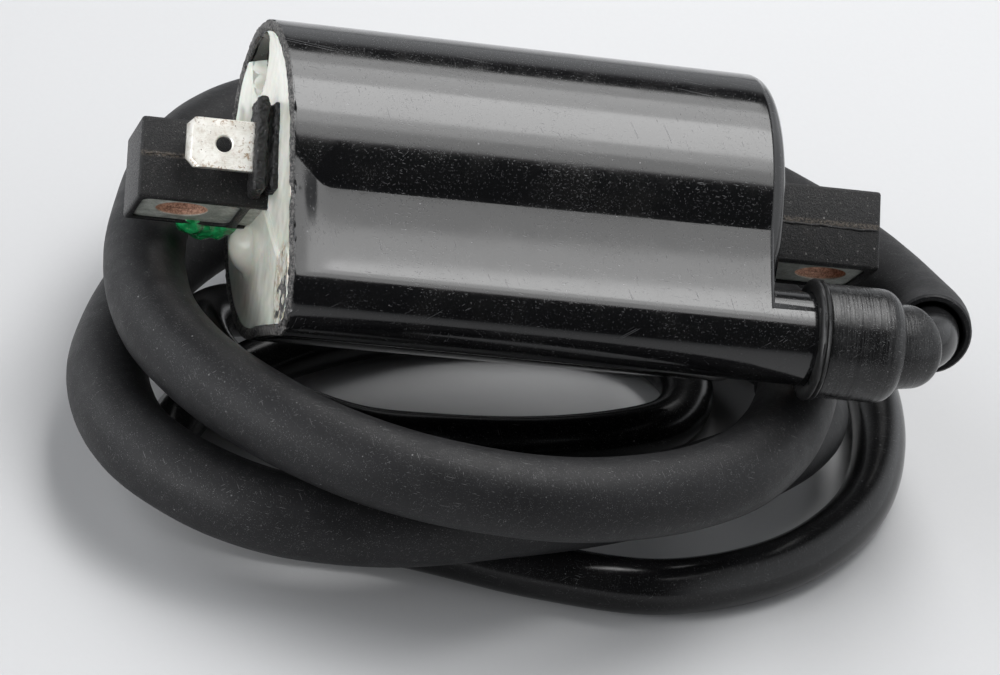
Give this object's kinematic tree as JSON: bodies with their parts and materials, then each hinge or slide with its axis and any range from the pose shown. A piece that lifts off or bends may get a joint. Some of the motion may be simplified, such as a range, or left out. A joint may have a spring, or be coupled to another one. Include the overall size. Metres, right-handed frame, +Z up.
{
  "type": "ignition coil",
  "caption": "Potted ignition coil for a small engine: round black case on a straight laminated core, spade terminal, screwed lead cap and a coiled high-tension lead in a sleeve.",
  "frame": {"origin": "centre of the mounting hole at the terminal end, midway through the lamination stack and on the case's axis", "axes": "+X along the case towards the lead cap, +Z up with the coil lying level on its coiled lead, +Y away from the lead tower"},
  "size_m": [0.1131, 0.1017, 0.0539],
  "materials": {
    "case_plastic": "gloss black, scratched",
    "resin": "glossy cream, uneven",
    "core_steel": "dull, lightly rusted",
    "core_cover_plastic": "fine-grained satin black",
    "block_plastic": "satin black",
    "tinned_brass": "dull tin with brown stains",
    "bobbin_plastic": "satin natural",
    "enamelled_copper": "glossy enamel",
    "film": "glossy amber",
    "solder": "dull grey metal",
    "lacquer": "glossy translucent green",
    "brass": "satin",
    "cap_plastic": "satin black with turning lines",
    "seal_rubber": "satin black",
    "strands": "bare stranded metal",
    "lead_insulation": "gloss black",
    "sleeve_rubber": "matt black, dusty"
  },
  "bodies": {
    "root": {"case": "case_plastic", "potting_resin": "resin", "core_laminations": "core_steel", "terminal_end_cover": "core_cover_plastic", "lead_end_cover": "core_cover_plastic", "terminal_block": "block_plastic", "spade_terminal": "tinned_brass", "primary_bobbin": "bobbin_plastic", "primary_winding": "enamelled_copper", "layer_insulation": "film", "secondary_bobbin": "bobbin_plastic", "secondary_winding": "enamelled_copper", "feed_wire": "enamelled_copper", "earth_wire": "enamelled_copper", "earth_solder_joint": "solder", "lacquer_seal": "lacquer", "high_voltage_link": "enamelled_copper", "contact_spike": "brass", "lead_cap": "cap_plastic", "cap_seal_ring": "seal_rubber", "lead_conductor": "strands", "high_tension_lead": "lead_insulation", "lead_sleeve": "sleeve_rubber"}
  },
  "joints": []
}
